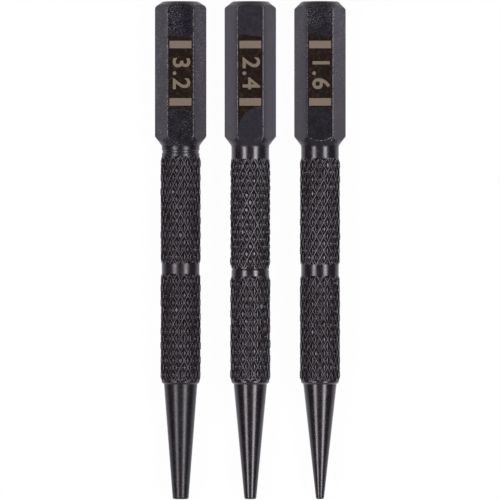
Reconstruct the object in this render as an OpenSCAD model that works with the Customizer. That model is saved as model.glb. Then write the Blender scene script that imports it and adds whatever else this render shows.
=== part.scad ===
// Set of three one-piece steel punches, alike but for the size of their tips.
// They lie side by side on a flat of their hexagonal heads, tips towards -Y, with the largest tip at -X.

/* [Set] */
// Distance between the axes of neighbouring punches
spacing = 14; // [12:0.5:30]
// Length of a punch, from its tip to its striking face
length = 100; // [96:0.5:120]

/* [Tips] */
// Diameters of the tips of the large, the medium and the small punch
tip_d = [3.2, 2.4, 1.6]; // [1.2:0.1:4.4]
// Radius that rounds the rim of a tip
tip_round = 0.35; // [0.1:0.05:0.5]
// Length of the taper
taper_length = 23.1; // [20:0.1:23.5]
// Diameter of the taper where it leaves the grip
taper_d = 6.7; // [5.4:0.1:7]

/* [Head] */
// Distance from the tip to the foot of the cone under the head
cone_z = 71; // [70.8:0.1:74]
// Width of the head across its flats
head_flats = 9; // [8.6:0.1:9.4]
// Diameter to which the corners of the hexagon are turned
head_corner_d = 10.35; // [10:0.05:10.8]
// Diameters of the flat striking faces of the large, the medium and the small punch
striking_face_d = [7.4, 7.2, 7.4]; // [6.5:0.1:8]
// Lengths of the chamfers round the striking faces, in the same order
head_chamfer = [1.35, 1.3, 1.55]; // [1:0.05:2]
// Radii that round the edges of those chamfers
head_edge = [1, 0.45, 0.6]; // [0.2:0.05:1.2]
// Length of the cone under the head
head_cone = 1.85; // [1.4:0.05:2.4]

/* [Grip] */
// Diameter of the plain neck and of the plain band between the two knurls
band_d = 7.6; // [7.3:0.05:7.7]
// Plain strips below the lower knurls of the large, the medium and the small punch
strip_length = [0.15, 0.55, 0.55]; // [0.1:0.05:0.8]
// Lengths of the plain bands between the knurls, in the same order
band_length = [2, 2, 2.2]; // [1.6:0.1:2.4]
// Depth of the turned relief groove that some of the punches have
groove_depth = 0.14; // [0.06:0.02:0.2]
// Width of the relief groove
groove_width = 0.7; // [0.5:0.05:0.8]
// Plain strip between the large punch's upper knurl and the relief groove in its neck
groove_gap = 0.55; // [0.1:0.05:0.7]

/* [Knurl] */
// Lengths of the lower knurls of the large, the medium and the small punch
lower_knurl = [21.7, 20.8, 20.9]; // [18:0.1:22]
// Lengths of the upper knurls, in the same order
upper_knurl = [21.6, 21.6, 21.4]; // [18:0.1:22]
// Diameter over the crests of the knurl
knurl_d = 8.1; // [7.9:0.05:8.3]
// Depth of the knurl, from crest to groove
knurl_depth = 0.38; // [0.2:0.02:0.5]
// Diamonds round the grip
knurl_count = 16; // [12:1:18]
// Distance from one row of diamonds to the next, staggered one, to which a whole number of rows is fitted
row_pitch = 1.46; // [1.4:0.02:1.7]
// Share of a diamond's width that is its flat land, between the grooves
land_share = 0.62; // [0.4:0.02:0.74]

/* [Hidden] */
$fn = 96;
steel_colour = "#2d2c30";

// The punches, in the order of the lists of their sizes.
LARGE = 0;
MEDIUM = 1;
SMALL = 2;

shoulder_length = 0.35;
cone_round = 0.3;
neck_round = 0.15;
arc_steps = 4;

// The turned core reaches a little way into each end of a knurl, and then runs deep under its grooves.
core_overlap = 0.1;
core_below_grooves = 0.25;
core_r = knurl_d / 2 - knurl_depth - core_below_grooves;

// Heights along the axis, from the tip to where each punch's two knurls start.
function lower_z(size) = taper_length + shoulder_length + strip_length[size];
function upper_z(size) = lower_z(size) + lower_knurl[size] + band_length[size];
head_z = cone_z + head_cone;

// A corner [r, z, radius] as the points of the arc that rounds it, between its neighbours.
function unit(v) = v / norm(v);
function plane(p) = [p[0], p[1]];
function corner_arc(before, here, after) =
    let (
        corner = plane(here),
        to_before = unit(plane(before) - corner),
        to_after = unit(plane(after) - corner),
        half_angle = acos(to_before * to_after) / 2,
        centre = corner + unit(to_before + to_after) * here[2] / sin(half_angle),
        start = corner + to_before * here[2] / tan(half_angle) - centre,
        end = corner + to_after * here[2] / tan(half_angle) - centre,
        turn = acos(unit(start) * unit(end))
    )
    [for (i = [0:arc_steps])
        centre + (start * sin(turn * (1 - i / arc_steps)) + end * sin(turn * i / arc_steps)) / sin(turn)];

// An outline whose corners are rounded where they give a radius.
function rounded(corners) =
    let (last = len(corners) - 1)
    [for (i = [0:last])
        each corners[i][2] > 0
            ? corner_arc(corners[i == 0 ? last : i - 1], corners[i], corners[i == last ? 0 : i + 1])
            : [plane(corners[i])]];

// The stretch of the outline where the core runs under a knurl.
function core_under(z, knurl_length) =
    let (low = z + core_overlap, high = z + knurl_length - core_overlap)
    [[band_d / 2, low, 0], [core_r, low, 0], [core_r, high, 0], [band_d / 2, high, 0]];

// A relief groove with sloping walls, cut upwards from z. Without one the outline runs on.
function relief_groove(z, present) =
    let (r = band_d / 2, floor_r = r - groove_depth)
    present
        ? [[r, z, 0], [floor_r, z + groove_depth, 0],
           [floor_r, z + groove_width - groove_depth, 0], [r, z + groove_width, 0]]
        : [];

// Half the outline of a punch as it leaves the lathe, before its flats and its knurls.
function turned_outline(size, neck_groove, band_groove) =
    rounded(concat(
        [[0, 0, 0], [tip_d[size] / 2, 0, tip_round]],
        [[taper_d / 2, taper_length, 0], [band_d / 2, taper_length + shoulder_length, 0]],
        core_under(lower_z(size), lower_knurl[size]),
        relief_groove(upper_z(size) - groove_width, band_groove),
        core_under(upper_z(size), upper_knurl[size]),
        relief_groove(upper_z(size) + upper_knurl[size] + groove_gap, neck_groove),
        [[band_d / 2, cone_z, neck_round], [head_corner_d / 2, head_z, cone_round]],
        [[head_corner_d / 2, length - head_chamfer[size], head_edge[size]]],
        [[striking_face_d[size] / 2, length, head_edge[size]], [0, length, 0]]
    ));

module turned_blank(size, neck_groove, band_groove) {
    rotate_extrude()
        polygon(turned_outline(size, neck_groove, band_groove));
}

// What the six milled flats take off the head.
module milled_flats() {
    cut = head_corner_d;
    for (turn = [30:60:330])
        rotate(turn)
            translate([head_flats / 2, -cut / 2, cone_z])
                cube([cut, cut, length]);
}

// Diamond knurl: two families of grooves wind in opposite hands and cross at the corners of the diamonds.
// Columns count crossings round the grip, rows count along it, and every second row is half a diamond round.
function ring_point(r, column, z) =
    let (turn = column * 180 / knurl_count)
    [r * cos(turn), r * sin(turn), z];
function first_column(row) = row % 2;

// Radius of a crest (level 1) or a groove (level 0). Over the last row both run out to a ring round the band.
knurl_lip = 0.015;
rim_r = (band_d / 2 + knurl_lip) / cos(180 * land_share / knurl_count);
function knurl_r(level, z, rows, pitch) =
    let (
        full_r = knurl_d / 2 - (1 - level) * knurl_depth,
        to_end = min(z, rows * pitch - z)
    )
    rim_r + (full_r - rim_r) * min(1, to_end / pitch);

function crossing(row, k, rows, pitch) =
    let (z = row * pitch)
    ring_point(knurl_r(0, z, rows, pitch), 2 * k + first_column(row), z);

// A corner of a diamond's land, on its left, right, lower or upper side.
LEFT = 0;
RIGHT = 1;
LOWER = 2;
UPPER = 3;
LAND_SIDES = [[-1, 0], [1, 0], [0, -1], [0, 1]];
function land_corner(row, k, side, rows, pitch) =
    let (
        column = 2 * k + first_column(row) + 1 + land_share * LAND_SIDES[side][0],
        z = (row + land_share * LAND_SIDES[side][1]) * pitch,
        kept_z = max(0, min(rows * pitch, z))
    )
    ring_point(knurl_r(1, kept_z, rows, pitch), column, kept_z);

function knurl_points(rows, pitch) = concat(
    [for (row = [0:rows], k = [0:knurl_count - 1]) crossing(row, k, rows, pitch)],
    [for (row = [0:rows], k = [0:knurl_count - 1], side = [LEFT:UPPER]) land_corner(row, k, side, rows, pitch)]
);

// Places of the crossings and of the lands' corners in that list.
function at_crossing(row, k) = row * knurl_count + (k % knurl_count);
function at_land(row, k, side, rows) =
    (rows + 1) * knurl_count + (row * knurl_count + k) * len(LAND_SIDES) + side;

function halves(quad) = [[quad[0], quad[1], quad[2]], [quad[0], quad[2], quad[3]]];

// One diamond: its land, and its share of the four groove walls round it. The end rows have half a diamond.
function diamond_faces(row, k, rows) =
    let (
        left = at_land(row, k, LEFT, rows), right = at_land(row, k, RIGHT, rows),
        lower = at_land(row, k, LOWER, rows), upper = at_land(row, k, UPPER, rows),
        west = at_crossing(row, k), east = at_crossing(row, k + 1),
        south = at_crossing(row - 1, k + first_column(row)),
        north = at_crossing(row + 1, k + first_column(row)),
        lower_walls = [[west, left, lower, south], [south, lower, right, east]],
        upper_walls = [[north, upper, left, west], [east, right, upper, north]]
    )
    concat(
        row == 0 ? [[left, upper, right]]
            : row == rows ? [[left, right, lower]]
            : [[left, upper, lower], [upper, right, lower]],
        row > 0 ? [for (wall = lower_walls) each halves(wall)] : [],
        row < rows ? [for (wall = upper_walls) each halves(wall)] : []
    );

// The flat end of a knurl, as the places of its corners in order round the grip.
function knurl_end(row, rows) =
    [for (k = [0:knurl_count - 1])
        each [at_crossing(row, k), at_land(row, k, LEFT, rows), at_land(row, k, RIGHT, rows)]];
function reversed(list) = [for (i = [len(list) - 1:-1:0]) list[i]];

function knurl_faces(rows) = concat(
    [for (row = [0:rows], k = [0:knurl_count - 1]) each diamond_faces(row, k, rows)],
    [knurl_end(0, rows), reversed(knurl_end(rows, rows))]
);

module knurl(knurl_length) {
    rows = round(knurl_length / row_pitch);
    polyhedron(knurl_points(rows, knurl_length / rows), knurl_faces(rows), convexity = 4);
}

// One punch, with its tip at the origin and its axis along +Z.
module punch(size, neck_groove = false, band_groove = false) {
    color(steel_colour) union() {
        difference() {
            turned_blank(size, neck_groove, band_groove);
            milled_flats();
        }
        translate([0, 0, lower_z(size)]) knurl(lower_knurl[size]);
        translate([0, 0, upper_z(size)]) knurl(upper_knurl[size]);
    }
}

// Lays a punch on a flat of its head, in a place of the set counted from the middle.
module lay(place) {
    translate([place * spacing, -length / 2, head_flats / 2])
        rotate([-90, 0, 0])
            children();
}

// The large punch has a relief groove in its neck, the medium one in its band.
module large_punch() lay(-1) punch(LARGE, neck_groove = true);
module medium_punch() lay(0) punch(MEDIUM, band_groove = true);
module small_punch() lay(1) punch(SMALL);

large_punch();
medium_punch();
small_punch();
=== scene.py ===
"""Dresses a set of three blackened steel punches and lays them on a white studio table."""
import math
import random

import bmesh
import bpy
from mathutils import Matrix, Vector, noise


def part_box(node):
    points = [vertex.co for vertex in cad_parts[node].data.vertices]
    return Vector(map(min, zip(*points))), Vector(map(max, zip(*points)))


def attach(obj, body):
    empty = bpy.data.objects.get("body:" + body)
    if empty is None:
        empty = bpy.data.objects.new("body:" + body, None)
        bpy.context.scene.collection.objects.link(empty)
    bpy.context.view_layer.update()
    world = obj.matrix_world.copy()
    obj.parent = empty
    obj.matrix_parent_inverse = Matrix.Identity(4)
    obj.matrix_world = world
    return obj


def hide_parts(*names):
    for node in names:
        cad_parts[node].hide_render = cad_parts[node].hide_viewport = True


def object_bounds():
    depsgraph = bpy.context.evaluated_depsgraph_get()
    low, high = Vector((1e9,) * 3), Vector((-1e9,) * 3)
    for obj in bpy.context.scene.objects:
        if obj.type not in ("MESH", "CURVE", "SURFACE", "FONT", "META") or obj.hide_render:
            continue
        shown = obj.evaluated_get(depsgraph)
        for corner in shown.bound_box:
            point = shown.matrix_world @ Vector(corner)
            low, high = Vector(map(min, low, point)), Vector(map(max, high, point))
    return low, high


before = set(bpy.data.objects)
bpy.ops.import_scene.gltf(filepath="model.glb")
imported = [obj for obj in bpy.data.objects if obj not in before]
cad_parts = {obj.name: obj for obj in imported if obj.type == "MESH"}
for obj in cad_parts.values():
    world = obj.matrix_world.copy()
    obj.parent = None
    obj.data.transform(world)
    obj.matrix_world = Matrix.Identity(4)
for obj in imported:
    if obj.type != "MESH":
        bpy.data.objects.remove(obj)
cad_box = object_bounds()

# A millimetre in the frame's metres
MM = 0.001

# Sizes of a punch in millimetres. Its length, its width across the flats and its place come from the frame.
TIP_ROUND = 0.35
TAPER_LENGTH = 23.1
TAPER_R = 3.35
SHOULDER_LENGTH = 0.35
SHOULDER_ROUND = 0.1
BAND_R = 3.8
GROOVE_DEPTH = 0.14
GROOVE_GAP = 0.55
GROOVE_EDGE_ROUND = 0.05
GROOVE_FLOOR_ROUND = 0.08
CONE_START = 71.0
HEAD_CONE = 1.85
CONE_ROUND = 0.3
NECK_ROUND = 0.15
HEAD_SIDES = 6
HEAD_CORNER_ROUND = 0.16
FLAT_BEVEL = 0.06

# How finely the mesh follows those sizes. The neck ends and the head starts a little below the cone. SEAM is
# the gap left for the faces that join a knurl to plain steel. The caps of the tip and of the striking face
# start at a share of the radius. The shares of half a side of the hexagon run from a flat's middle to the
# rounding of its corner, and along that rounding.
ARC_STEPS = 5
TAPER_STEP = 1.0
BAND_STEP = 0.5
SEAM = 0.05
NECK_BELOW_CONE = 0.4
HEAD_BELOW_CONE = 0.3
TIP_CAP = 0.5
FACE_CAP = 0.4
FLAT_SHARES = (0, 0.28, 0.52, 0.72, 0.87, 0.96, 1)
CORNER_SHARES = (0.35, 0.7, 1)
CONE_POINTS = 9
FLAT_ROWS = 12
CHAMFER_POINTS = 18
INSIDE_CORNER = 1e-4

# Points on each side of a flat's bevelled rim: their distance from its line, in bevels, and their wear.
RIM_POINTS = ((1, 1.0), (2.5, 0.0))

# The edges of the head are worn less on the lower half of its cone, and at the end by its striking face.
EDGE_WEAR_AT_ENDS = 0.5
END_OF_EDGE = 1.0

# The knurl. Distances across a groove are shares of a diamond's width, counted from the groove's middle.
KNURL_R = 4.05
KNURL_COUNT = 16
ROW_PITCH = 1.46
SAMPLES = (0, 0.05, 0.1, 0.165, 0.245, 0.37, 0.5, 0.63, 0.755, 0.835, 0.9, 0.95)
CREST_RUN_OUT = 0.7
GROOVE_RUN_OUT = 0.25
RAGGED = 0.15
RAGGED_WAVES = 4
FLOOR_EDGE = 0.1
FLOOR_RISE = 0.06
WALL_SLOPE = 7.0
CROWN_POINT = 0.8
CROWN_LUMPS = 0.1
KNURL_GRAIN = 0.004
# The crowns are painted paler towards their middle, partly as polish and partly as a painted highlight, and
# more so on a diamond that stands proud. Each groove's floor is painted pale by its own share, as a painted
# highlight of the lattice's lines.
DIAMOND_MIDDLE = 0.5
POLISH_AND_HIGHLIGHT_FROM = 0.17
POLISH_AND_HIGHLIGHT = 0.66
PROUD_POLISH_AND_HIGHLIGHT = 0.6
STROKE_HIGHLIGHT = (0.72, 1.28)

# What differs between the punches:
# tip: the diameter of the tip
# strip, band: lengths of plain steel under the lower knurl and between the knurls
# neck_groove, band_groove: widths of the relief grooves in the neck and in the band, 0 where there is none
# lower_knurl, upper_knurl: length, depth, and the share of the depth by which a crown falls towards its edges
# head: radius of the striking face, length of the chamfer round it, and the radius that rounds both its edges
# edge_wear: wear of the right and of the left edge of the upper flat
# rim_wear: wear of the upper and of the lower rims of the flats
# turned: roughness, and the refractive indices of the taper and of the band and neck
# flats: roughness and refractive index of the flats, and a factor on the colour of their oxide
# specks: share of pale specks on the head, at its cone and at its striking face
# knurl_index, knurl_wear_and_highlight: refractive index, and share of pale steel, of the lower and of the
# upper knurl;
# the pale steel is a painted highlight on the grooves' floors, and partly polish, partly painted highlight on
# the crowns
# stain: how far the heat stain reaches past the upper and the lower end of the mark
PUNCHES = (
    {
        "name": "large", "tip": 3.2, "strip": 0.15, "band": 2.0, "neck_groove": 0.7, "band_groove": 0,
        "lower_knurl": (21.7, 0.26, 0.45), "upper_knurl": (21.6, 0.27, 0.45),
        "head": (3.6, 1.1, 0.9), "edge_wear": (0.86, 0.84), "rim_wear": (0.3, 0.64),
        "turned": (0.29, 1.46, 1.55), "flats": (0.28, 1.37, 0.6), "specks": (0.75, 1.25),
        "knurl_index": (1.36, 1.36), "knurl_wear_and_highlight": (0.5, 0.54), "stain": (0.8, 0.5),
    },
    {
        "name": "medium", "tip": 2.4, "strip": 0.2, "band": 1.55, "neck_groove": 0, "band_groove": 0.34,
        "lower_knurl": (21.15, 0.24, 0.45), "upper_knurl": (22.05, 0.36, 0.75),
        "head": (3.6, 1.3, 0.45), "edge_wear": (1.0, 0.86), "rim_wear": (0.5, 0.66),
        "turned": (0.23, 1.57, 1.68), "flats": (0.32, 1.51, 1.0), "specks": (0.25, 0.25),
        "knurl_index": (1.42, 1.46), "knurl_wear_and_highlight": (0.61, 0.9), "stain": (1.1, 4.6),
    },
    {
        "name": "small", "tip": 1.6, "strip": 0.2, "band": 2.2, "neck_groove": 0, "band_groove": 0,
        "lower_knurl": (21.25, 0.21, 0.45), "upper_knurl": (21.4, 0.27, 0.45),
        "head": (3.7, 1.55, 0.6), "edge_wear": (1.0, 0.74), "rim_wear": (0.6, 0.76),
        "turned": (0.23, 1.58, 1.58), "flats": (0.28, 1.45, 0.62), "specks": (0.2, 1.05),
        "knurl_index": (1.36, 1.4), "knurl_wear_and_highlight": (0.5, 0.78), "stain": (1.2, 0.2),
    },
)

# Distance between the axes of neighbouring punches, and the seed of all chance
SPACING = 14.0
SEED = 7

# Zones of a punch's surface, numbered like the materials of its mesh
FLATS, TURNED, BANDS, LOWER_KNURL, UPPER_KNURL = range(5)


def corner_arc(before, here, after):
    """The points of the arc that rounds a corner (r, s, radius) of an outline."""
    corner = Vector(here[:2])
    to_before = (Vector(before[:2]) - corner).normalized()
    to_after = (Vector(after[:2]) - corner).normalized()
    half_angle = to_before.angle(to_after) / 2
    centre = corner + (to_before + to_after).normalized() * here[2] / math.sin(half_angle)
    start = corner + to_before * here[2] / math.tan(half_angle) - centre
    end = corner + to_after * here[2] / math.tan(half_angle) - centre
    turn = start.angle(end)
    shares = [i / ARC_STEPS for i in range(ARC_STEPS + 1)]
    arc = [(start * math.sin(turn * (1 - t)) + end * math.sin(turn * t)) / math.sin(turn) for t in shares]
    return [centre + point for point in arc]


def rounded(corners):
    """An open outline of (r, s, radius) corners as (r, s) points, with arcs where a corner has a radius."""
    points = [Vector(corners[0][:2])]
    for before, here, after in zip(corners, corners[1:], corners[2:]):
        points += corner_arc(before, here, after) if here[2] > 0 else [Vector(here[:2])]
    return points + [Vector(corners[-1][:2])]


def subdivided(points, longest):
    """The same outline with points added, so that no step is longer than that."""
    result = [points[0]]
    for a, b in zip(points, points[1:]):
        steps = max(1, math.ceil((b - a).length / longest))
        result += [a.lerp(b, i / steps) for i in range(1, steps + 1)]
    return result


class Skin:
    """A mesh in the making, as rings of points round an axis along Y. Turns are angles from +X towards +Z."""

    def __init__(self, tip):
        self.tip = tip
        self.points = []
        self.wear = []
        self.faces = []
        self.zones = []

    def point(self, r, turn, s, wear=0.0):
        self.points.append(self.tip + Vector((r * math.cos(turn), s, r * math.sin(turn))) * MM)
        self.wear.append(wear)
        return len(self.points) - 1

    def face(self, corners, zone):
        self.faces.append(corners)
        self.zones.append(zone)

    def join(self, lower, upper, zone):
        """Faces between two rings with the same number of points."""
        for i in range(len(lower)):
            k = (i + 1) % len(lower)
            self.face((lower[i], lower[k], upper[k], upper[i]), zone)

    def revolve(self, outline, turns, zone, below):
        """Rings along an outline, joined to each other and to the ring below. Returns the last one."""
        for r, s in outline:
            ring = [self.point(r, turn, s) for turn in turns]
            self.join(below, ring, zone)
            below = ring
        return below

    def cap(self, ring, s, zone):
        """Closes a ring at an end of the axis."""
        middle = self.point(0, 0, s)
        for i in range(len(ring)):
            self.face((ring[i], ring[(i + 1) % len(ring)], middle), zone)

    def zip(self, lower, lower_turns, upper, upper_turns, zone):
        """Triangles between two rings with different numbers of points."""
        full = 2 * math.pi
        a = sorted((turn % full, index) for turn, index in zip(lower_turns, lower))
        b = sorted((turn % full, index) for turn, index in zip(upper_turns, upper))
        a.append((a[0][0] + full, a[0][1]))
        b.append((b[0][0] + full, b[0][1]))
        i = k = 0
        while i < len(a) - 1 or k < len(b) - 1:
            if k == len(b) - 1 or (i < len(a) - 1 and a[i + 1][0] <= b[k + 1][0]):
                self.face((a[i][1], a[i + 1][1], b[k][1]), zone)
                i += 1
            else:
                self.face((a[i][1], b[k + 1][1], b[k][1]), zone)
                k += 1

    def knurl(self, below, s, size, first_turn, zone, chance):
        """Crowned diamonds between two families of grooves, from height s up. Returns the last ring.

        The grooves of one family lie at whole numbers of u, those of the other at whole numbers of v.
        Each diamond has its own lump, and each groove its own stroke, the share by which its floor is painted
        pale as a highlight.
        """
        length, depth, fall = size
        rows = knurl_rows(length)
        samples = len(SAMPLES)
        count = KNURL_COUNT * samples
        steps = rows * samples
        lumps = [[chance.gauss(0, 1) for _ in range(KNURL_COUNT)] for _ in range(KNURL_COUNT + rows + 1)]
        strokes = [[chance.uniform(*STROKE_HIGHLIGHT) for _ in range(KNURL_COUNT)] for _ in range(2)]
        lines = []
        for j in range(count):
            v = lattice(j)
            line = []
            for step in range(steps + 1):
                u = lattice(j + step)
                along = (u - v) * length / rows
                turn = first_turn + (u + v) * math.pi / KNURL_COUNT
                crest, root = knurl_levels(min(along, length - along), depth, turn)
                lump = lumps[int(u)][int(v)]
                height = diamond_height(u, v, lump, fall)
                r = root + (crest - root) * height + chance.gauss(0, KNURL_GRAIN)
                line.append(self.point(r, turn, s + along, diamond_wear(u, v, lump, strokes)))
            lines.append(line)
        for j in range(count):
            here = lines[j]
            after = lines[(j + 1) % count]
            self.face((here[0], here[1], after[0]), zone)
            for step in range(1, steps):
                self.face((here[step], here[step + 1], after[step], after[step - 1]), zone)
            self.face((here[steps], after[steps], after[steps - 1]), zone)
        self.join(below, [line[0] for line in lines], TURNED)
        return [line[-1] for line in lines]

    def build(self, name, materials):
        """The finished object, in the scene."""
        mesh = bpy.data.meshes.new(name)
        mesh.from_pydata(self.points, [], self.faces)
        for material in materials:
            mesh.materials.append(material)
        mesh.polygons.foreach_set("material_index", self.zones)
        mesh.attributes.new("wear", "FLOAT", "POINT").data.foreach_set("value", self.wear)
        outward = bmesh.new()
        outward.from_mesh(mesh)
        bmesh.ops.recalc_face_normals(outward, faces=outward.faces)
        outward.to_mesh(mesh)
        outward.free()
        mesh.shade_smooth()
        piece = bpy.data.objects.new(name, mesh)
        bpy.context.scene.collection.objects.link(piece)
        piece.modifiers.new("flat_faces_first", "WEIGHTED_NORMAL")
        return piece


def lattice(index):
    """Place of a sample along u or v, in diamonds."""
    return index // len(SAMPLES) + SAMPLES[index % len(SAMPLES)]


def to_groove(place):
    """Distance from the middle of the nearest groove of one family."""
    return min(place % 1, 1 - place % 1)


def diamond_height(u, v, lump, fall):
    """Height of the knurl, from 0 on a groove's floor to about 1 on a diamond's crown."""
    across_u = to_groove(u)
    across_v = to_groove(v)
    across = min(across_u, across_v)
    if across <= FLOOR_EDGE:
        return FLOOR_RISE * (across / FLOOR_EDGE) ** 2
    wall = FLOOR_RISE + WALL_SLOPE * (across - FLOOR_EDGE)
    off_middle = math.hypot((1 - 2 * across_u) ** 2, (1 - 2 * across_v) ** 2)
    crown = 1 + CROWN_LUMPS * lump - fall * off_middle**CROWN_POINT
    return max(FLOOR_RISE, min(wall, crown))


def diamond_wear(u, v, lump, strokes):
    """Pale steel painted on the knurl: a painted highlight along the grooves' floors, which are also dull,
    and, as negative values, partly polish and partly a painted highlight on the crowns.

    A diamond that stands proud, by its lump, gets more of it on its crown.
    """
    across = min(to_groove(u), to_groove(v))
    if across < FLOOR_EDGE:
        worn_and_highlight = [own[round(place) % KNURL_COUNT] for own, place in zip(strokes, (u, v))]
        return max(wear * (1 - to_groove(place) / FLOOR_EDGE) for wear, place in zip(worn_and_highlight, (u, v)))
    polish_and_highlight = max(0, POLISH_AND_HIGHLIGHT * (1 + PROUD_POLISH_AND_HIGHLIGHT * lump))
    return -polish_and_highlight * max(0, across - POLISH_AND_HIGHLIGHT_FROM) / (DIAMOND_MIDDLE - POLISH_AND_HIGHLIGHT_FROM)


def knurl_rows(length):
    """The whole number of rows that fits a knurl of that length best."""
    return round(length / ROW_PITCH)


def knurl_levels(to_end, depth, turn):
    """Radii of the crests and of the grooves' floors, which run out to the plain steel at a ragged end."""
    around = Vector((RAGGED_WAVES * math.cos(turn), RAGGED_WAVES * math.sin(turn), to_end))
    ragged = RAGGED * (0.5 + noise.noise(around))
    crest = BAND_R + (KNURL_R - BAND_R) * min(1, to_end / CREST_RUN_OUT)
    root = KNURL_R - depth
    return crest, BAND_R + (root - BAND_R) * max(0, min(1, (to_end - ragged) / GROOVE_RUN_OUT))


def knurl_turns(rows):
    """Angles of the first ring of a knurl that starts that many rows up."""
    places = range(KNURL_COUNT * len(SAMPLES))
    return [(2 * lattice(j) + rows) * math.pi / KNURL_COUNT for j in places]


def relief_groove(s, width):
    """A shallow turned groove that starts at height s."""
    floor_r = BAND_R - GROOVE_DEPTH
    return [
        (BAND_R, s, GROOVE_EDGE_ROUND),
        (floor_r, s + GROOVE_DEPTH, GROOVE_FLOOR_ROUND),
        (floor_r, s + width - GROOVE_DEPTH, GROOVE_FLOOR_ROUND),
        (BAND_R, s + width, GROOVE_EDGE_ROUND),
    ]


def add_grip(skin, punch, chance):
    """Everything from the tip to the neck. Returns its last ring and that ring's turns."""
    tip_r = punch["tip"] / 2
    lower_length = punch["lower_knurl"][0]
    upper_length = punch["upper_knurl"][0]
    shoulder_s = TAPER_LENGTH + SHOULDER_LENGTH
    lower_s = shoulder_s + punch["strip"]
    band_s = lower_s + lower_length
    upper_s = band_s + punch["band"]
    neck_s = upper_s + upper_length
    lower_rows = knurl_rows(lower_length)
    rows = lower_rows + knurl_rows(upper_length)

    taper = rounded([
        (tip_r * TIP_CAP, 0, 0),
        (tip_r, 0, TIP_ROUND),
        (TAPER_R, TAPER_LENGTH, SHOULDER_ROUND),
        (BAND_R, shoulder_s, SHOULDER_ROUND),
        (BAND_R, lower_s - SEAM, 0),
    ])
    turns = knurl_turns(0)
    first_ring = [skin.point(taper[0].x, turn, 0) for turn in turns]
    skin.cap(first_ring, 0, TURNED)
    ring = skin.revolve(subdivided(taper, TAPER_STEP)[1:], turns, TURNED, first_ring)
    ring = skin.knurl(ring, lower_s, punch["lower_knurl"], 0, LOWER_KNURL, chance)

    band = [(BAND_R, band_s + SEAM, 0)]
    if punch["band_groove"]:
        band += relief_groove(upper_s - punch["band_groove"] - SEAM, punch["band_groove"])
    band.append((BAND_R, upper_s - SEAM / 2, 0))
    ring = skin.revolve(subdivided(rounded(band), BAND_STEP), knurl_turns(lower_rows), BANDS, ring)
    first_turn = lower_rows * math.pi / KNURL_COUNT
    ring = skin.knurl(ring, upper_s, punch["upper_knurl"], first_turn, UPPER_KNURL, chance)

    neck = [(BAND_R, neck_s + SEAM, 0)]
    if punch["neck_groove"]:
        neck += relief_groove(neck_s + GROOVE_GAP, punch["neck_groove"])
    neck.append((BAND_R, CONE_START - NECK_BELOW_CONE, 0))
    turns = knurl_turns(rows)
    return skin.revolve(subdivided(rounded(neck), BAND_STEP), turns, BANDS, ring), turns


def head_columns(half_flats, edge_wear):
    """Angles, radii and wear of the points round the hexagon, with its corners rounded."""
    side = 2 * math.pi / HEAD_SIDES
    rounded_from = math.atan((half_flats - HEAD_CORNER_ROUND) * math.tan(side / 2) / half_flats)
    corner_centre = (half_flats - HEAD_CORNER_ROUND) / math.cos(side / 2)
    flat_places = [rounded_from * share for share in FLAT_SHARES]
    corner_places = [rounded_from + (side / 2 - rounded_from) * share for share in CORNER_SHARES]
    half_side = [(place, half_flats / math.cos(place), 0.0) for place in flat_places]
    for place in corner_places:
        off_corner = side / 2 - place
        reach = HEAD_CORNER_ROUND**2 - (corner_centre * math.sin(off_corner)) ** 2
        half_side.append((place, corner_centre * math.cos(off_corner) + math.sqrt(reach), 1.0))
    whole_side = [(-place, r, wear) for place, r, wear in reversed(half_side[1:-1])] + half_side
    right_wear, left_wear = edge_wear
    other_wear = (right_wear + left_wear) / 2
    corner_wear = (other_wear, right_wear, left_wear, other_wear, other_wear, other_wear)
    columns = []
    for n in range(HEAD_SIDES):
        for place, r, wear in whole_side:
            corner = n if place < 0 else (n + 1) % HEAD_SIDES
            columns.append((side * (n + 0.5) + place, r, wear * corner_wear[corner]))
    return columns


def turned_head(head, length, corner_r):
    """The head's outline as it leaves the lathe, from its neck to its striking face."""
    face_r, chamfer, edge = head
    return rounded([
        (BAND_R, CONE_START - HEAD_BELOW_CONE, 0),
        (BAND_R, CONE_START, NECK_ROUND),
        (corner_r, CONE_START + HEAD_CONE, CONE_ROUND),
        (corner_r, length - chamfer, edge),
        (face_r, length, edge),
        (face_r * FACE_CAP, length, 0),
    ])


def resampled(outline, count):
    """An outline as that many points at equal distances."""
    steps = [(b - a).length for a, b in zip(outline, outline[1:])]
    points = [outline[0]]
    for n in range(1, count - 1):
        left = sum(steps) * n / (count - 1)
        i = 0
        while left > steps[i]:
            left -= steps[i]
            i += 1
        points.append(outline[i].lerp(outline[i + 1], left / steps[i]))
    return points + [outline[-1]]


def towards(a, b, distance):
    """The point at that distance from a, on the way to b."""
    return a + (b - a).normalized() * distance


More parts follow.
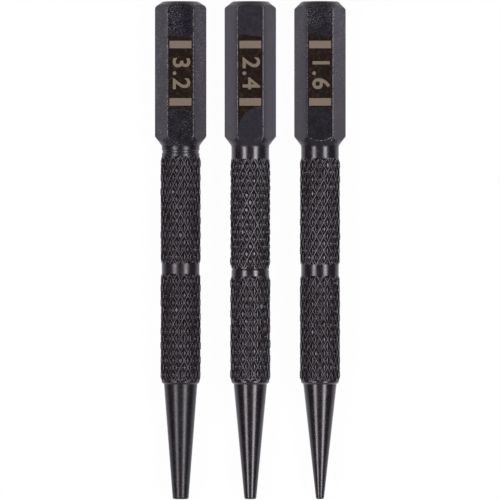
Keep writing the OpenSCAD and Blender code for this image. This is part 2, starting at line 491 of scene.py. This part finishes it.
def cut_by_flat(outline, r):
    """A turned outline with a flat milled at radius r, as (r, s, rim) points. The flat's rims have rim 1."""
    wide = [i for i, point in enumerate(outline) if point.x >= r]
    first, last = wide[0], wide[-1]
    a, b = outline[first - 1], outline[first]
    low = a.lerp(b, (r - a.x) / (b.x - a.x))
    a, b = outline[last], outline[last + 1]
    high = a.lerp(b, (a.x - r) / (a.x - b.x))
    cone = resampled(outline[:first] + [low], CONE_POINTS)
    chamfer = resampled([high] + outline[last + 1:], CHAMFER_POINTS)
    points = [(p.x, p.y, 0.0) for p in cone[:-1]]
    for share, rim in reversed(RIM_POINTS):
        p = towards(low, cone[-2], FLAT_BEVEL * share)
        points.append((p.x, p.y, rim))
    points += [(r, low.y + FLAT_BEVEL * share, rim) for share, rim in RIM_POINTS]
    from_s = points[-1][1]
    to_s = high.y - FLAT_BEVEL * RIM_POINTS[-1][0]
    points += [(r, from_s + (to_s - from_s) * row / FLAT_ROWS, 0.0) for row in range(1, FLAT_ROWS)]
    points += [(r, high.y - FLAT_BEVEL * share, rim) for share, rim in reversed(RIM_POINTS)]
    for share, rim in RIM_POINTS:
        p = towards(high, chamfer[1], FLAT_BEVEL * share)
        points.append((p.x, p.y, rim))
    return points + [(p.x, p.y, 0.0) for p in chamfer[1:]]


def add_head(skin, punch, length, half_flats, ring, turns):
    """The hexagonal head, from the neck's last ring to the striking face."""
    columns = head_columns(half_flats, punch["edge_wear"])
    corner_r = max(r for _, r, _ in columns)
    head_turns = [turn for turn, _, _ in columns]
    turned = turned_head(punch["head"], length, corner_r)
    outlines = [cut_by_flat(turned, r - INSIDE_CORNER) for _, r, _ in columns]
    upper_rim, lower_rim = punch["rim_wear"]
    below = None
    for height in range(len(outlines[0])):
        head_ring = []
        for outline, (turn, _, wear) in zip(outlines, columns):
            r, s, rim = outline[height]
            along_edge = CONE_START + HEAD_CONE / 2 < s < length - END_OF_EDGE
            edge_wear = wear if along_edge else wear * EDGE_WEAR_AT_ENDS
            rim_wear = upper_rim if s > (length + CONE_START) / 2 else lower_rim
            head_ring.append(skin.point(r, turn, s, max(edge_wear, rim * rim_wear)))
        if below:
            skin.join(below, head_ring, FLATS)
        else:
            skin.zip(ring, turns, head_ring, head_turns, BANDS)
        below = head_ring
    skin.cap(below, length, FLATS)


def make_punch(punch, materials, chance):
    """One punch, built from its tip upwards on the place of its CAD node."""
    node = punch["name"] + "_punch"
    low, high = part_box(node)
    length = (high.y - low.y) / MM
    half_flats = (high.z - low.z) / MM / 2
    skin = Skin(Vector(((low.x + high.x) / 2, low.y, (low.z + high.z) / 2)))
    ring, turns = add_grip(skin, punch, chance)
    add_head(skin, punch, length, half_flats, ring, turns)
    piece = skin.build(punch["name"] + "_steel", materials)
    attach(piece, node)
    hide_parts(node)


# Places of the sockets for colours on a Mix node
MIX_FACTOR = 0
MIX_A = 6
MIX_B = 7
MIX_RESULT = 2


class Nodes:
    """Short calls for building a material's nodes."""

    def __init__(self, owner):
        owner.use_nodes = True
        self.tree = owner.node_tree
        self.tree.nodes.clear()

    def add(self, kind, inputs=None, **settings):
        node = self.tree.nodes.new("ShaderNode" + kind)
        for name, value in settings.items():
            setattr(node, name, value)
        for name, value in (inputs or {}).items():
            self.set(node.inputs[name], value)
        return node

    def set(self, socket, value):
        if isinstance(value, bpy.types.NodeSocket):
            self.tree.links.new(value, socket)
        else:
            socket.default_value = value

    def math(self, operation, *values):
        node = self.add("Math", operation=operation)
        for socket, value in zip(node.inputs, values):
            self.set(socket, value)
        return node.outputs[0]

    def mix(self, factor, a, b):
        """A colour between a and b."""
        node = self.add("Mix", data_type="RGBA")
        self.set(node.inputs[MIX_FACTOR], factor)
        self.set(node.inputs[MIX_A], a)
        self.set(node.inputs[MIX_B], b)
        return node.outputs[MIX_RESULT]

    def between(self, value, low, high, to_low=0.0, to_high=1.0):
        """A value's place between low and high, smoothly from to_low to to_high."""
        node = self.add("MapRange", interpolation_type="SMOOTHSTEP")
        for socket, number in zip(node.inputs, (value, low, high, to_low, to_high)):
            self.set(socket, number)
        return node.outputs[0]

    def noise(self, place, scale, detail, roughness):
        inputs = {"Vector": place, "Scale": scale, "Detail": detail, "Roughness": roughness}
        return self.add("TexNoise", inputs).outputs["Fac"]


def millimetres(nodes, stretch=(1, 1, 1)):
    """Places on the object in millimetres, stretched for a pattern that runs along an axis."""
    coordinates = nodes.add("TexCoord")
    scale = [1 / MM / s for s in stretch]
    mapping = nodes.add("Mapping", {"Vector": coordinates.outputs["Object"], "Scale": scale})
    return mapping.outputs["Vector"]


# Finishes of the steel. An oxide has a dark and a pale colour. Where it is worn off, bare steel shows: the
# share that shows, and the values of wear times noise at which it starts and is full. On the knurl, the same
# pale steel is also a painted highlight, on the grooves' floors and, with polish, on the crowns. Grain, pits,
# streaks and rings are heights in millimetres.
FLAT_OXIDE = (0.0058, 0.0056, 0.0098, 1), (0.0118, 0.0098, 0.0158, 1)
TURNED_OXIDE = (0.0046, 0.0033, 0.0049, 1), (0.0095, 0.0073, 0.0103, 1)
KNURL_OXIDE = (0.0046, 0.0024, 0.0042, 1), (0.01, 0.0058, 0.0092, 1)
STEEL_WORN_AND_HIGHLIGHT = (0.24, 0.235, 0.265, 1)
GLOSS_TINT = (1.0, 0.94, 1.0, 1)
EDGES_WORN = (1.0, 0.36, 0.5)
KNURL_PALE_FROM = 0.25
KNURL_PALE_TO = 0.58
FLAT_GRAIN = 0.004
FLAT_STREAKS = 0.003
TURNED_GRAIN = 0.0003
TURNED_RINGS = 0.001
TURNED_SPECKS = (0.2, 0.2)
KNURL_ROUGHNESS = 0.15
KNURL_PITS = 0.008
KNURL_SPECKS = (0.08, 0.08)
KNURL_MATT = 0.35
SMOOTHER = 0.04
ROUGHER = 0.06

# Noises of those finishes: scale per millimetre, detail and roughness. A span is where a noise takes effect.
CLOUDS = (0.45, 5.0, 0.6)
CLOUDS_SPAN = (0.3, 0.7)
DUST = (5.0, 1.0, 0.5)
DUST_SPAN = (0.56, 0.65)
DUST_MOST = 0.55
PATCHES = (0.35, 3.0, 0.5)
PATCHES_SPAN = (0.35, 0.65)
PATCHES_LEAST = 0.2
BLOTCHES = (2.2, 4.0, 0.7)
GRAIN = (5.0, 3.0, 0.6)
RINGS = (6.0, 3.0, 0.7)
RING_STRETCH = (40, 1, 40)
STREAKS = (8.0, 3.0, 0.6)
STREAK_STRETCH = (1, 30, 1)
SHEEN = (1.3, 4.0, 0.6)
SHEEN_SPAN = (0.25, 0.75)


def oxide_material(name, oxide, worn_and_highlight, roughness, index, grain, specks, rings=0.0, streaks=0.0, matt=0.0):
    """Blackened steel: cloudy oxide with pale specks, worn off along edges, over turned rings or streaks.

    The specks are two shares, at the cone and at the striking face. Where the steel is worn, and where it is
    painted pale along the knurl's grooves as a highlight, it is rougher by the value of matt.
    """
    material = bpy.data.materials.new(name)
    nodes = Nodes(material)
    place = millimetres(nodes)
    clouds = nodes.between(nodes.noise(place, *CLOUDS), *CLOUDS_SPAN)
    colour = nodes.mix(clouds, *oxide)

    dust = nodes.between(nodes.noise(place, *DUST), *DUST_SPAN, to_high=DUST_MOST)
    patches = nodes.between(nodes.noise(place, *PATCHES), *PATCHES_SPAN, to_low=PATCHES_LEAST)
    _, y, _ = nodes.add("SeparateXYZ", {"Vector": place}).outputs
    cone_y = cad_box[0].y / MM + CONE_START
    face_y = cad_box[1].y / MM
    speckled = nodes.between(y, cone_y, face_y, *specks)
    pale = nodes.math("MULTIPLY", nodes.math("MULTIPLY", dust, patches), speckled)
    colour = nodes.mix(pale, colour, STEEL_WORN_AND_HIGHLIGHT)

    # Pale steel follows the mesh's attribute: real wear along the head's edges and rims, and on the knurl a
    # painted highlight along the grooves' floors and, partly polish and partly painted highlight, on the
    # crowns.
    edge = nodes.add("Attribute", attribute_name="wear").outputs["Fac"]
    rubbed_and_highlight = nodes.math("MULTIPLY", nodes.math("ABSOLUTE", edge), nodes.noise(place, *BLOTCHES))
    share, pale_from, pale_to = worn_and_highlight
    bare_and_highlight = nodes.between(rubbed_and_highlight, pale_from, pale_to)
    colour = nodes.mix(nodes.math("MULTIPLY", bare_and_highlight, share), colour, STEEL_WORN_AND_HIGHLIGHT)

    height = nodes.math("MULTIPLY", nodes.noise(place, *GRAIN), grain)
    if rings:
        turned = nodes.noise(millimetres(nodes, RING_STRETCH), *RINGS)
        height = nodes.math("ADD", height, nodes.math("MULTIPLY", turned, rings))
    if streaks:
        drawn = nodes.noise(millimetres(nodes, STREAK_STRETCH), *STREAKS)
        height = nodes.math("ADD", height, nodes.math("MULTIPLY", drawn, streaks))
    bump = nodes.add("Bump", {"Height": height, "Distance": MM, "Strength": 1.0})

    sheen = nodes.noise(place, *SHEEN)
    gloss = nodes.between(sheen, *SHEEN_SPAN, roughness - SMOOTHER, roughness + ROUGHER)
    if matt:
        gloss = nodes.math("ADD", gloss, nodes.math("MULTIPLY", nodes.math("MAXIMUM", edge, 0.0), matt))
    shader = nodes.add("BsdfPrincipled", {
        "Base Color": colour, "Roughness": gloss, "IOR": index, "Normal": bump.outputs["Normal"],
        "Specular Tint": GLOSS_TINT,
    })
    nodes.add("OutputMaterial", {"Surface": shader.outputs["BSDF"]})
    return material


def steel_materials(punch):
    """The finishes of a punch's zones, in their order."""
    name = punch["name"] + "_oxide_"
    roughness, index, shade = punch["flats"]
    oxide = [(*(shade * share for share in colour[:3]), 1) for colour in FLAT_OXIDE]
    finishes = [oxide_material(
        name + "flats", oxide, EDGES_WORN, roughness, index, FLAT_GRAIN, punch["specks"], streaks=FLAT_STREAKS
    )]
    roughness, *indices = punch["turned"]
    for zone, index in zip(("turned", "bands"), indices):
        finishes.append(oxide_material(
            name + zone, TURNED_OXIDE, EDGES_WORN, roughness, index, TURNED_GRAIN, TURNED_SPECKS,
            rings=TURNED_RINGS
        ))
    # The knurl's pale steel is a painted highlight on its grooves' floors, and partly polish and partly
    # painted highlight on its crowns.
    for zone, index, share in zip(("lower_knurl", "upper_knurl"), punch["knurl_index"], punch["knurl_wear_and_highlight"]):
        worn_and_highlight = (share, KNURL_PALE_FROM, KNURL_PALE_TO)
        finishes.append(oxide_material(
            name + zone, KNURL_OXIDE, worn_and_highlight, KNURL_ROUGHNESS, index, KNURL_PITS, KNURL_SPECKS, matt=KNURL_MATT
        ))
    return finishes


# The size mark on the upper flat of each head and the heat stain round it, in millimetres
MARK_FROM_FACE = 14.5
MARK_LENGTH = 13.0
MARK_WIDTH = 4.4
MARK_BAR = 1.5
MARK_HEIGHT = 0.012
DIGIT_SIZE = 4.8
DIGIT_SPACING = 1.15
DIGIT_BOLDER = 0.09
MERGE_DISTANCE = 1e-4
ETCH_DARK = (0.05, 0.033, 0.022, 1)
ETCH_PALE = (0.25, 0.185, 0.132, 1)
ETCH_ROUGHNESS = 0.6
ETCH_INDEX = 1.5
ETCH_LINES = {"Scale": 1.6, "Distortion": 0.6}
ETCH_LINES_SHARE = 0.45
ETCH_SPOTS = (4.0, 4.0, 0.7)
ETCH_SPOTS_SHARE = 0.6
ETCH_SPAN = (0.2, 0.8)
STAIN_WIDTH = 4.75
STAIN_HEIGHT = 0.005
STAIN_STEPS = 40
STAIN_MARGIN = 0.15
STAIN_DARK = (0.009, 0.0045, 0.0027, 1)
STAIN_PALE = (0.03, 0.0165, 0.0105, 1)
STAIN_ROUGHNESS = 0.38
STAIN_INDEX = 1.22
STAIN_CLOUDS = (1.2, 4.0, 0.65)
STAIN_SPAN = (0.45, 0.7)

# A stain that reaches further past the mark than this has a smooth, curved end. The others are ragged.
STAIN_LONG = 2.0
UNEVEN_LONG = 0.2
UNEVEN_SHORT = 0.9
COARSE_WAVES = 1.3
FINE_WAVES = 5
FINE_SHARE = 0.4
ENDS_APART = 9


def etch_material():
    """Bronze heat colours of a laser mark, drawn in fine parallel lines."""
    material = bpy.data.materials.new("laser_etch")
    nodes = Nodes(material)
    place = millimetres(nodes)
    lines = nodes.add("TexWave", {"Vector": place, **ETCH_LINES}, bands_direction="X")
    lined = nodes.math("MULTIPLY", lines.outputs["Fac"], ETCH_LINES_SHARE)
    spotted = nodes.math("MULTIPLY", nodes.noise(place, *ETCH_SPOTS), ETCH_SPOTS_SHARE)
    blend = nodes.between(nodes.math("ADD", lined, spotted), *ETCH_SPAN)
    shader = nodes.add("BsdfPrincipled", {
        "Base Color": nodes.mix(blend, ETCH_DARK, ETCH_PALE), "Roughness": ETCH_ROUGHNESS, "IOR": ETCH_INDEX,
    })
    nodes.add("OutputMaterial", {"Surface": shader.outputs["BSDF"]})
    return material


def stain_material():
    """Steel burnt brown and matt by the heat of the marking."""
    material = bpy.data.materials.new("heat_stain")
    nodes = Nodes(material)
    place = millimetres(nodes)
    burnt = nodes.between(nodes.noise(place, *STAIN_CLOUDS), *STAIN_SPAN)
    shader = nodes.add("BsdfPrincipled", {
        "Base Color": nodes.mix(burnt, STAIN_DARK, STAIN_PALE), "Roughness": STAIN_ROUGHNESS,
        "IOR": STAIN_INDEX,
    })
    nodes.add("OutputMaterial", {"Surface": shader.outputs["BSDF"]})
    return material


def place_of_mark(punch):
    """The middle of a mark on a head's upper flat, as a move from the origin with a change to metres."""
    node = punch["name"] + "_punch"
    low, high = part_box(node)
    middle = Vector(((low.x + high.x) / 2, high.y - MARK_FROM_FACE * MM, high.z))
    return Matrix.Translation(middle) @ Matrix.Scale(MM, 4)


def add_to_head(punch, bm, name, material):
    """Makes a piece that moves with a punch, from a mesh in the making."""
    node = punch["name"] + "_punch"
    mesh = bpy.data.meshes.new(name)
    bm.to_mesh(mesh)
    bm.free()
    mesh.materials.append(material)
    piece = bpy.data.objects.new(mesh.name, mesh)
    bpy.context.scene.collection.objects.link(piece)
    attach(piece, node)


def stain_reach(stain, across, end):
    """How far the stain reaches from the middle of the mark along the head, at a place across the flat.

    From left to right, a long reach past the mark shrinks to nothing along a quarter of a circle, and a short
    one to its half.
    """
    past = stain[0] if end > 0 else stain[1]
    share = 0.5 - across / STAIN_WIDTH
    coarse = noise.noise(Vector((across * COARSE_WAVES, end * ENDS_APART + past, 0)))
    fine = noise.noise(Vector((across * FINE_WAVES, past, end)))
    if past > STAIN_LONG:
        left = 1 - math.sqrt(max(0, 1 - share**2))
        uneven = UNEVEN_LONG
    else:
        left = 0.5 + 0.5 * share
        uneven = UNEVEN_SHORT * min(past, 1)
    return MARK_LENGTH / 2 + STAIN_MARGIN + past * left + uneven * abs(coarse + FINE_SHARE * fine)


def make_stain(punch, material):
    """The burnt patch under a mark, as a thin slab on the upper flat."""
    places = [STAIN_WIDTH * (i / STAIN_STEPS - 0.5) for i in range(STAIN_STEPS + 1)]
    outline = [(x, stain_reach(punch["stain"], x, 1)) for x in places]
    outline += [(x, -stain_reach(punch["stain"], x, -1)) for x in reversed(places)]
    bm = bmesh.new()
    top = [bm.verts.new((x, y, STAIN_HEIGHT)) for x, y in outline]
    bottom = [bm.verts.new((x, y, -STAIN_HEIGHT)) for x, y in outline]
    for i in range(STAIN_STEPS):
        k = len(outline) - 1 - i
        bm.faces.new((top[i], top[i + 1], top[k - 1], top[k]))
        bm.faces.new((bottom[i], bottom[k], bottom[k - 1], bottom[i + 1]))
    for i in range(len(outline)):
        k = (i + 1) % len(outline)
        bm.faces.new((top[i], bottom[i], bottom[k], top[k]))
    bmesh.ops.recalc_face_normals(bm, faces=bm.faces)
    bm.transform(place_of_mark(punch))
    add_to_head(punch, bm, punch["name"] + "_heat_stain", material)


def digits_mesh(punch):
    """The size of a punch's tip in plain digits, as a mesh round the origin."""
    text = bpy.data.curves.new(punch["name"] + "_digits", "FONT")
    text.body = str(punch["tip"])
    text.size = DIGIT_SIZE
    text.space_character = DIGIT_SPACING
    text.offset = DIGIT_BOLDER
    text.extrude = MARK_HEIGHT
    text.align_x = "CENTER"
    text.align_y = "CENTER"
    letters = bpy.data.objects.new(text.name, text)
    bpy.context.scene.collection.objects.link(letters)
    bpy.context.view_layer.update()
    digits = bpy.data.meshes.new_from_object(letters)
    bpy.data.objects.remove(letters)
    return digits


def make_mark(punch, material):
    """The size of the tip between two bars, etched on the upper flat and read from the head down."""
    bm = bmesh.new()
    bm.from_mesh(digits_mesh(punch))
    bmesh.ops.remove_doubles(bm, verts=bm.verts, dist=MERGE_DISTANCE)
    bar = Matrix.Diagonal((MARK_BAR, MARK_WIDTH, 2 * MARK_HEIGHT, 1))
    for end in (-1, 1):
        middle = Matrix.Translation((end * (MARK_LENGTH - MARK_BAR) / 2, 0, 0))
        bmesh.ops.create_cube(bm, size=1.0, matrix=middle @ bar)
    bmesh.ops.recalc_face_normals(bm, faces=bm.faces)
    bm.transform(place_of_mark(punch) @ Matrix.Rotation(math.radians(-90), 4, "Z"))
    add_to_head(punch, bm, punch["name"] + "_size_mark", material)


# The studio. The floor and the lamps are in metres, and the cards in millimetres. A lamp has its tilt in
# degrees, the share of the brightness that its lit face has, and its colour. OVERHEAD_FROM, SIDES_FROM and
# SIDES_FULL are parts of a direction along z or y, at which the sky starts to brighten or is brightest.
FLOOR_SIZE = 12.0
FLOOR_COLOUR = (0.95, 0.95, 0.95, 1)
FLOOR_GLOW = 0.97
WHITE = (1, 1, 1, 1)
CARD_PLACES = (-1.5, -0.5, 0.5, 1.5)
CARD_COLOUR = (0.9, 0.86, 0.97, 1)
CARD_LOW = 0.2
CARD_FADES_FROM = 4.2
CARD_HIGH = 7.2
CARD_HIGH_AT_HEAD = 6.6
DARK_CARD_COLOUR = (0.46, 0.445, 0.48, 1)
DARK_CARD_BEHIND = 14
DARK_CARD_HIGH = 25
DARK_CARD_WIDTH = 80
LAMPS = (-36, 0.91, (1.0, 0.97, 0.985)), (33, 1.1, (0.975, 0.98, 1.0))
LAMP_BRIGHTNESS = 8.0
LAMP_DISTANCE = 1.5
LAMP_TOWARDS_TIPS = 0.15
LAMP_WIDTH = 0.48
LAMP_LENGTH = 1.2
SKY_HORIZON = 0.08
SKY_ZENITH = 0.12
SKY_IN_FRONT = 0.4
SKY_BEHIND = 0.3
OVERHEAD_FROM = 0.5
SIDES_FROM = 0.35
SIDES_FULL = 0.85


def add_plane(name, width, length, matrix, material):
    """A flat rectangle of the stage."""
    bm = bmesh.new()
    bmesh.ops.create_grid(bm, x_segments=1, y_segments=1, size=0.5)
    bm.transform(matrix @ Matrix.Diagonal((width, length, 1, 1)))
    mesh = bpy.data.meshes.new(name)
    bm.to_mesh(mesh)
    bm.free()
    mesh.materials.append(material)
    plane = bpy.data.objects.new(name, mesh)
    bpy.context.scene.collection.objects.link(plane)
    return plane


def seen_directly(nodes):
    """1 for what the camera sees, also in a reflection or through glass."""
    path = nodes.add("LightPath").outputs
    seen = nodes.math("MAXIMUM", path["Is Camera Ray"], path["Is Glossy Ray"])
    return nodes.math("MAXIMUM", seen, path["Is Transmission Ray"])


def floor_material():
    """A white table that keeps a faint shadow."""
    material = bpy.data.materials.new("white_table")
    nodes = Nodes(material)
    plain = nodes.add("BsdfDiffuse", {"Color": FLOOR_COLOUR})
    white = nodes.add("Emission", {"Color": WHITE, "Strength": 1.0})
    both = nodes.add("MixShader")
    nodes.set(both.inputs[0], nodes.math("MULTIPLY", seen_directly(nodes), FLOOR_GLOW))
    nodes.set(both.inputs[1], plain.outputs[0])
    nodes.set(both.inputs[2], white.outputs[0])
    nodes.add("OutputMaterial", {"Surface": both.outputs[0]})
    return material


def card_material(name, colour, fades_from=None, fades_to=None):
    """A plain colour that a card shows, which may fade from one height to another."""
    material = bpy.data.materials.new(name)
    nodes = Nodes(material)
    plain = nodes.add("Emission", {"Color": colour, "Strength": 1.0})
    if fades_from:
        place = nodes.add("NewGeometry").outputs["Position"]
        _, _, z = nodes.add("SeparateXYZ", {"Vector": place}).outputs
        nodes.set(plain.inputs["Strength"], nodes.between(z, fades_to * MM, fades_from * MM))
    nodes.add("OutputMaterial", {"Surface": plain.outputs[0]})
    return material


def add_card(width, length, matrix, material):
    """A card that is seen only in the steel."""
    card = add_plane("card", width, length, matrix, material)
    card.visible_camera = False
    card.visible_diffuse = False
    card.visible_transmission = False
    card.visible_shadow = False


def make_cards():
    """White cards along the punches, which show in their sides, and a dark one behind the heads.

    Along the grips they fade upwards, and along the heads they are white all over.
    """
    white = card_material("white_card", CARD_COLOUR)
    fading = card_material("fading_card", CARD_COLOUR, CARD_FADES_FROM, CARD_HIGH)
    dark = card_material("dark_card", DARK_CARD_COLOUR)
    low, high = cad_box
    upright = Matrix.Rotation(math.radians(90), 4, "Y")
    head_y = low.y + CONE_START * MM
    stretches = ((low.y, head_y, CARD_HIGH, fading), (head_y, high.y, CARD_HIGH_AT_HEAD, white))
    for place in CARD_PLACES:
        for from_y, to_y, top, material in stretches:
            middle = Vector((place * SPACING * MM, (from_y + to_y) / 2, (CARD_LOW + top) / 2 * MM))
            add_card((top - CARD_LOW) * MM, to_y - from_y, Matrix.Translation(middle) @ upright, material)
    middle = Vector((0, high.y + DARK_CARD_BEHIND * MM, DARK_CARD_HIGH / 2 * MM))
    facing = Matrix.Rotation(math.radians(90), 4, "X")
    add_card(DARK_CARD_WIDTH * MM, DARK_CARD_HIGH * MM, Matrix.Translation(middle) @ facing, dark)


def make_lamps():
    """Two long soft boxes, one on each side of the camera, along the punches."""
    for tilt, share, colour in LAMPS:
        lamp = bpy.data.lights.new("soft_box", "AREA")
        lamp.shape = "RECTANGLE"
        lamp.size = LAMP_WIDTH
        lamp.size_y = LAMP_LENGTH
        lamp.energy = share * LAMP_BRIGHTNESS * math.pi * LAMP_WIDTH * LAMP_LENGTH
        lamp.color = colour
        box = bpy.data.objects.new("soft_box", lamp)
        away = Matrix.Translation((0, -LAMP_TOWARDS_TIPS, LAMP_DISTANCE))
        box.matrix_world = Matrix.Rotation(math.radians(tilt), 4, "Y") @ away
        bpy.context.scene.collection.objects.link(box)


def make_sky():
    """A dim room, a little brighter overhead, more behind the heads, and brightest in front of the tips."""
    world = bpy.data.worlds.new("studio")
    bpy.context.scene.world = world
    nodes = Nodes(world)
    direction = nodes.add("TexCoord").outputs["Generated"]
    _, y, z = nodes.add("SeparateXYZ", {"Vector": direction}).outputs
    overhead = nodes.between(z, OVERHEAD_FROM, 1.0, SKY_HORIZON, SKY_ZENITH)
    in_front = nodes.between(y, -SIDES_FROM, -SIDES_FULL, 0.0, SKY_IN_FRONT)
    behind = nodes.between(y, SIDES_FROM, SIDES_FULL, 0.0, SKY_BEHIND)
    strength = nodes.math("ADD", overhead, nodes.math("ADD", in_front, behind))
    sky = nodes.add("Background", {"Color": WHITE, "Strength": strength})
    nodes.add("OutputWorld", {"Surface": sky.outputs[0]})


# The photograph is square and looks straight down. SET_PIXEL is where the middle of the set lies in it. The
# camera's height and its far limit are in metres.
CAMERA_HEIGHT = 1.6
CAMERA_REACH = 100
PIXELS = 500
MM_PER_PIXEL = 0.201
SET_PIXEL = (250.3, 250.3)


def make_camera():
    """The camera, with the scale of the photograph at the height of the punches' axes."""
    camera = bpy.data.cameras.new("camera")
    low, high = cad_box
    axis_height = (low.z + high.z) / 2
    camera.lens = camera.sensor_width * (CAMERA_HEIGHT - axis_height) / (PIXELS * MM_PER_PIXEL * MM)
    camera.clip_end = CAMERA_REACH
    eye = bpy.data.objects.new("camera", camera)
    off_x = (PIXELS / 2 - SET_PIXEL[0]) * MM_PER_PIXEL * MM
    off_y = (SET_PIXEL[1] - PIXELS / 2) * MM_PER_PIXEL * MM
    eye.location = ((low.x + high.x) / 2 + off_x, (low.y + high.y) / 2 + off_y, CAMERA_HEIGHT)
    bpy.context.scene.collection.objects.link(eye)
    bpy.context.scene.camera = eye


bpy.context.scene.view_settings.view_transform = "Standard"
make_camera()
make_lamps()
make_sky()
add_plane("floor", FLOOR_SIZE, FLOOR_SIZE, Matrix.Identity(4), floor_material())
make_cards()

etch = etch_material()
stain = stain_material()
dice = random.Random(SEED)
for each_punch in PUNCHES:
    make_punch(each_punch, steel_materials(each_punch), dice)
    make_stain(each_punch, stain)
    make_mark(each_punch, etch)
